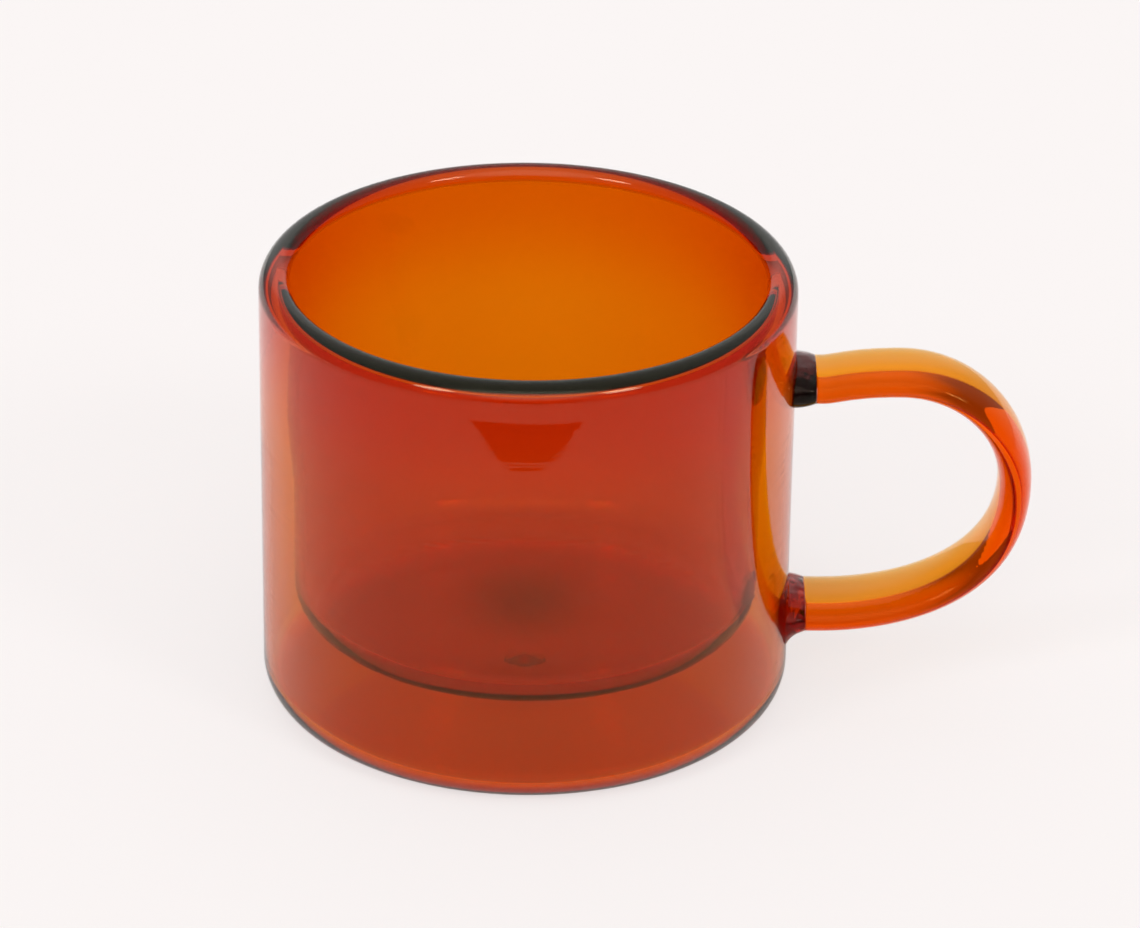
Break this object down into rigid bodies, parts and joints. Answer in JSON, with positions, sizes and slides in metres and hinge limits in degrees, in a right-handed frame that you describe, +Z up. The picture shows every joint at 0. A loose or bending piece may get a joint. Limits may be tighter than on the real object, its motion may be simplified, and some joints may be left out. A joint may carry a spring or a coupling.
{
  "type": "espresso cup",
  "caption": "Double-wall amber glass espresso cup with a fused rounded rim, a flat foot and a D-shaped strap handle welded to the outer wall.",
  "frame": {"origin": "centre of the foot, in the plane that the cup stands on, on the flush face of the vent seal", "axes": "+Z up along the cup's axis, +X towards the handle"},
  "size_m": [0.0955, 0.066, 0.057],
  "materials": {
    "amber_glass": "fire-polished clear amber borosilicate",
    "seal_glass": "fire-polished amber pip",
    "handle_glass": "fire-polished lighter amber rod",
    "weld_glass": "dark fused glass"
  },
  "bodies": {
    "root": {"inner_cup": "amber_glass", "outer_wall": "amber_glass", "rim_weld": "amber_glass", "base_dish": "amber_glass", "vent_seal": "seal_glass", "handle": "handle_glass", "upper_handle_weld": "weld_glass", "lower_handle_weld": "weld_glass"}
  },
  "joints": []
}
